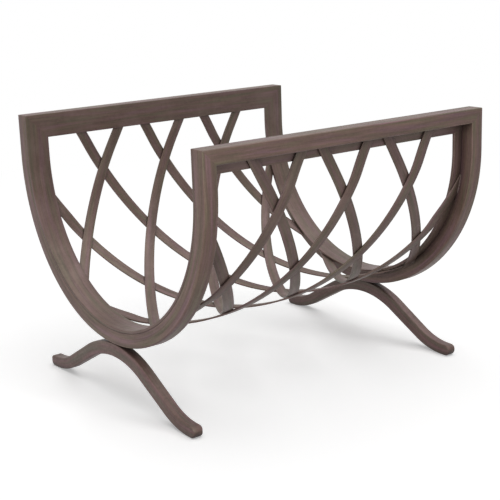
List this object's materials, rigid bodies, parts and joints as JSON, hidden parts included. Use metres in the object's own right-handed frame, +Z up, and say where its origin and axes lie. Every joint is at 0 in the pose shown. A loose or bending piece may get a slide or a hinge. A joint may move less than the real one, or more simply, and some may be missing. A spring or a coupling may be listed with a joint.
{
  "type": "log holder",
  "caption": "Free-standing firewood holder: two square-tube hoops and two rails around a curved diamond lattice of flat straps, carried on arched legs with turned-up feet.",
  "frame": {"origin": "on the floor, under the middle of the holder", "axes": "+X along the logs, from the left hoop to the right hoop; +Y across, from the front rail to the back rail; +Z up"},
  "size_m": [0.59, 0.585, 0.465],
  "materials": {
    "frame_coat": "satin bronze-brown coat, lightly brushed and hammered",
    "liner_coat": "satin bronze-brown coat",
    "strap_coat": "satin bronze-brown coat",
    "leg_coat": "satin bronze-brown coat, lightly brushed and hammered"
  },
  "bodies": {
    "root": {"hoop_left": "frame_coat", "hoop_right": "frame_coat", "rail_front": "frame_coat", "rail_back": "frame_coat", "hoop_liner_left": "liner_coat", "hoop_liner_right": "liner_coat", "rail_liner_front": "liner_coat", "rail_liner_back": "liner_coat", "inner_strap_1": "strap_coat", "inner_strap_2": "strap_coat", "inner_strap_3": "strap_coat", "inner_strap_4": "strap_coat", "inner_strap_5": "strap_coat", "inner_strap_6": "strap_coat", "outer_strap_1": "strap_coat", "outer_strap_2": "strap_coat", "outer_strap_3": "strap_coat", "outer_strap_4": "strap_coat", "outer_strap_5": "strap_coat", "outer_strap_6": "strap_coat", "leg_left": "leg_coat", "leg_right": "leg_coat"}
  },
  "joints": []
}
